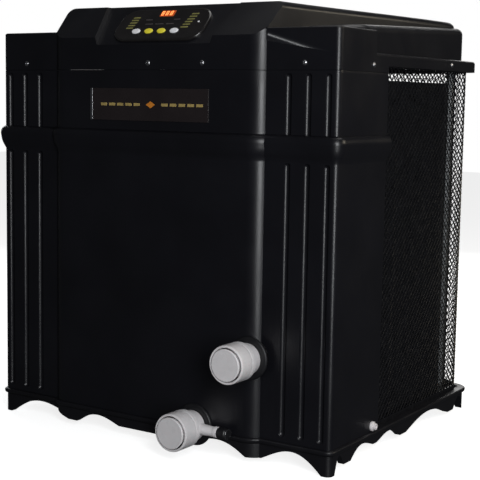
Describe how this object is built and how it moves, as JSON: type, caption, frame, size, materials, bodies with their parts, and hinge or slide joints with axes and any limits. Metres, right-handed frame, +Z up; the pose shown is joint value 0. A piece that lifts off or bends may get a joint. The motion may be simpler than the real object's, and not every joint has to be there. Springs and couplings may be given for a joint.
{
  "type": "electric heat-pump pool heater",
  "caption": "Boxy black moulded cabinet with meshed air-coil sides, a fan under a round top grille, a sloped key panel and white threaded water unions low on the front.",
  "frame": {"origin": "centre of the footprint of the whole object, unions included, at ground level", "axes": "+Z up; -Y is the front with the unions and the key panel; +X is the side with the condensate outlet"},
  "size_m": [1.09, 0.968, 1.1318],
  "materials": {
    "cabinet_black": "moulded ABS with a fine orange-peel texture, semi-gloss",
    "guard_black": "black vinyl-coated expanded mesh",
    "grille_black": "black coated steel wire",
    "galvanised_steel": "galvanised sheet",
    "fin_aluminium": "pressed fins, slightly dull",
    "motor_paint": "satin black enamel",
    "bright_steel": "ground steel",
    "fan_plastic": "glass-filled nylon",
    "exchanger_shell": "moulded pressure shell",
    "white_pvc": "moulded PVC, soft gloss",
    "fitting_black": "moulded fitting",
    "copper": "drawn copper tube, slightly dulled",
    "circuit_board": "solder resist",
    "badge_brown": "printed plate with plain gold bars and a plain amber lozenge",
    "screw_steel": "stainless pan head",
    "console_face": "glossy overlay with small amber indicators",
    "display_red": "lit numeric window, orange-red",
    "button_white": "soft key",
    "button_amber": "soft key"
  },
  "bodies": {
    "cabinet": {"base_pan": "cabinet_black", "lower_front_panel": "cabinet_black", "upper_front_panel": "cabinet_black", "top_cover": "cabinet_black", "rear_guard": "guard_black", "left_guard": "guard_black", "right_guard": "guard_black", "fan_guard": "grille_black", "left_front_post": "galvanised_steel", "right_front_post": "galvanised_steel", "left_rear_post": "galvanised_steel", "right_rear_post": "galvanised_steel", "motor_bracket": "galvanised_steel", "electrical_box": "galvanised_steel", "evaporator_coil": "fin_aluminium", "fan_motor": "motor_paint", "compressor": "motor_paint", "accumulator": "motor_paint", "heat_exchanger": "exchanger_shell", "outlet_pipe": "white_pvc", "inlet_pipe": "white_pvc", "outlet_union_body": "white_pvc", "inlet_union_body": "white_pvc", "outlet_tailpiece": "white_pvc", "inlet_tailpiece": "white_pvc", "drain_fitting": "white_pvc", "outlet_escutcheon": "fitting_black", "inlet_escutcheon": "fitting_black", "reversing_valve": "copper", "discharge_line": "copper", "suction_line": "copper", "filter_drier": "copper", "expansion_valve": "copper", "liquid_line": "copper", "exchanger_line": "copper", "control_board": "circuit_board", "badge_plate": "badge_brown", "cover_screw_front_1": "screw_steel", "cover_screw_front_2": "screw_steel", "cover_screw_front_3": "screw_steel", "cover_screw_front_4": "screw_steel", "cover_screw_left_1": "screw_steel", "cover_screw_left_2": "screw_steel", "cover_screw_right_1": "screw_steel", "cover_screw_right_2": "screw_steel", "control_bezel": "console_face", "display_window": "display_red"},
    "fan": {"fan_shaft": "bright_steel", "fan_blades": "fan_plastic"},
    "mode_key": {"mode_button": "button_white"},
    "down_key": {"down_button": "button_amber"},
    "up_key": {"up_button": "button_amber"},
    "power_key": {"power_button": "button_white"},
    "outlet_nut": {"outlet_union_nut": "white_pvc"},
    "inlet_nut": {"inlet_union_nut": "white_pvc"},
    "outlet_plug": {"outlet_dust_plug": "white_pvc", "outlet_plug_bung": "white_pvc"},
    "inlet_plug": {"inlet_dust_plug": "white_pvc", "inlet_plug_bung": "white_pvc"},
    "drain_stopper": {"drain_cap": "fitting_black"}
  },
  "joints": [
    {"name": "fan_spin", "type": "hinge", "parent": "cabinet", "child": "fan", "pos_m": [0, 0.087, 1.03], "axis": [0, 0, 1], "continuous": true},
    {"name": "mode_press", "type": "slide", "parent": "cabinet", "child": "mode_key", "axis": [0, 0.7193, -0.6947], "range_m": [0, 0.0015], "stiffness_N_per_m": 400},
    {"name": "down_press", "type": "slide", "parent": "cabinet", "child": "down_key", "axis": [0, 0.7193, -0.6947], "range_m": [0, 0.0015], "stiffness_N_per_m": 400},
    {"name": "up_press", "type": "slide", "parent": "cabinet", "child": "up_key", "axis": [0, 0.7193, -0.6947], "range_m": [0, 0.0015], "stiffness_N_per_m": 400},
    {"name": "power_press", "type": "slide", "parent": "cabinet", "child": "power_key", "axis": [0, 0.7193, -0.6947], "range_m": [0, 0.0015], "stiffness_N_per_m": 400},
    {"name": "outlet_nut_turn", "type": "hinge", "parent": "cabinet", "child": "outlet_nut", "pos_m": [0.308, -0.448, 0.266], "axis": [0, -1, 0], "continuous": true},
    {"name": "outlet_plug_pull", "type": "slide", "parent": "cabinet", "child": "outlet_plug", "axis": [0, -1, 0], "range_m": [0, 0.045]},
    {"name": "inlet_nut_turn", "type": "hinge", "parent": "cabinet", "child": "inlet_nut", "pos_m": [0.147, -0.448, 0.073], "axis": [0, -1, 0], "continuous": true},
    {"name": "inlet_plug_pull", "type": "slide", "parent": "cabinet", "child": "inlet_plug", "axis": [0, -1, 0], "range_m": [0, 0.045]},
    {"name": "drain_cap_turn", "type": "hinge", "parent": "cabinet", "child": "drain_stopper", "pos_m": [0.24, -0.401, 0.072], "axis": [1, 0, 0], "continuous": true}
  ]
}
